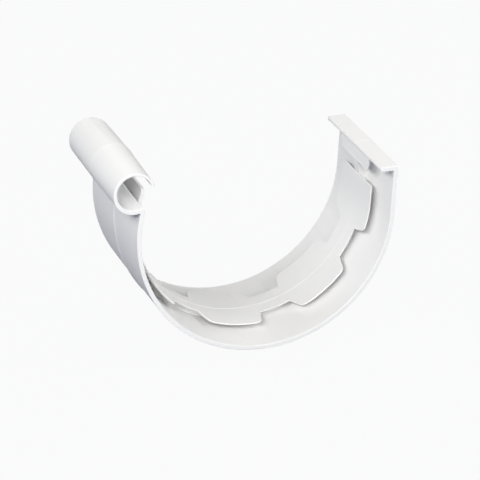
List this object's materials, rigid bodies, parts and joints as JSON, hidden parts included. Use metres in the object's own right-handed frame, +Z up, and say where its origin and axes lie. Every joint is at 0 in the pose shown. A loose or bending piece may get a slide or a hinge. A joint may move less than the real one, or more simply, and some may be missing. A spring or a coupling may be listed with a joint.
{
  "type": "gutter union",
  "caption": "White moulded half-round gutter union with an open bead tube in front, a flanged back with a hem lip, and a tabbed inner tongue that grips the gutter ends",
  "frame": {"origin": "on the axis of the half round, half way along the union, where the gutter ends meet", "axes": "+Z up; +Y along the gutter; +X towards the wall of the house, so the bead tube is at -X and the flanged back at +X"},
  "size_m": [0.1434, 0.069, 0.0988],
  "materials": {
    "white_pvc": "smooth moulded white PVC with a soft sheen"
  },
  "bodies": {
    "root": {"gutter_union": "white_pvc"}
  },
  "joints": []
}
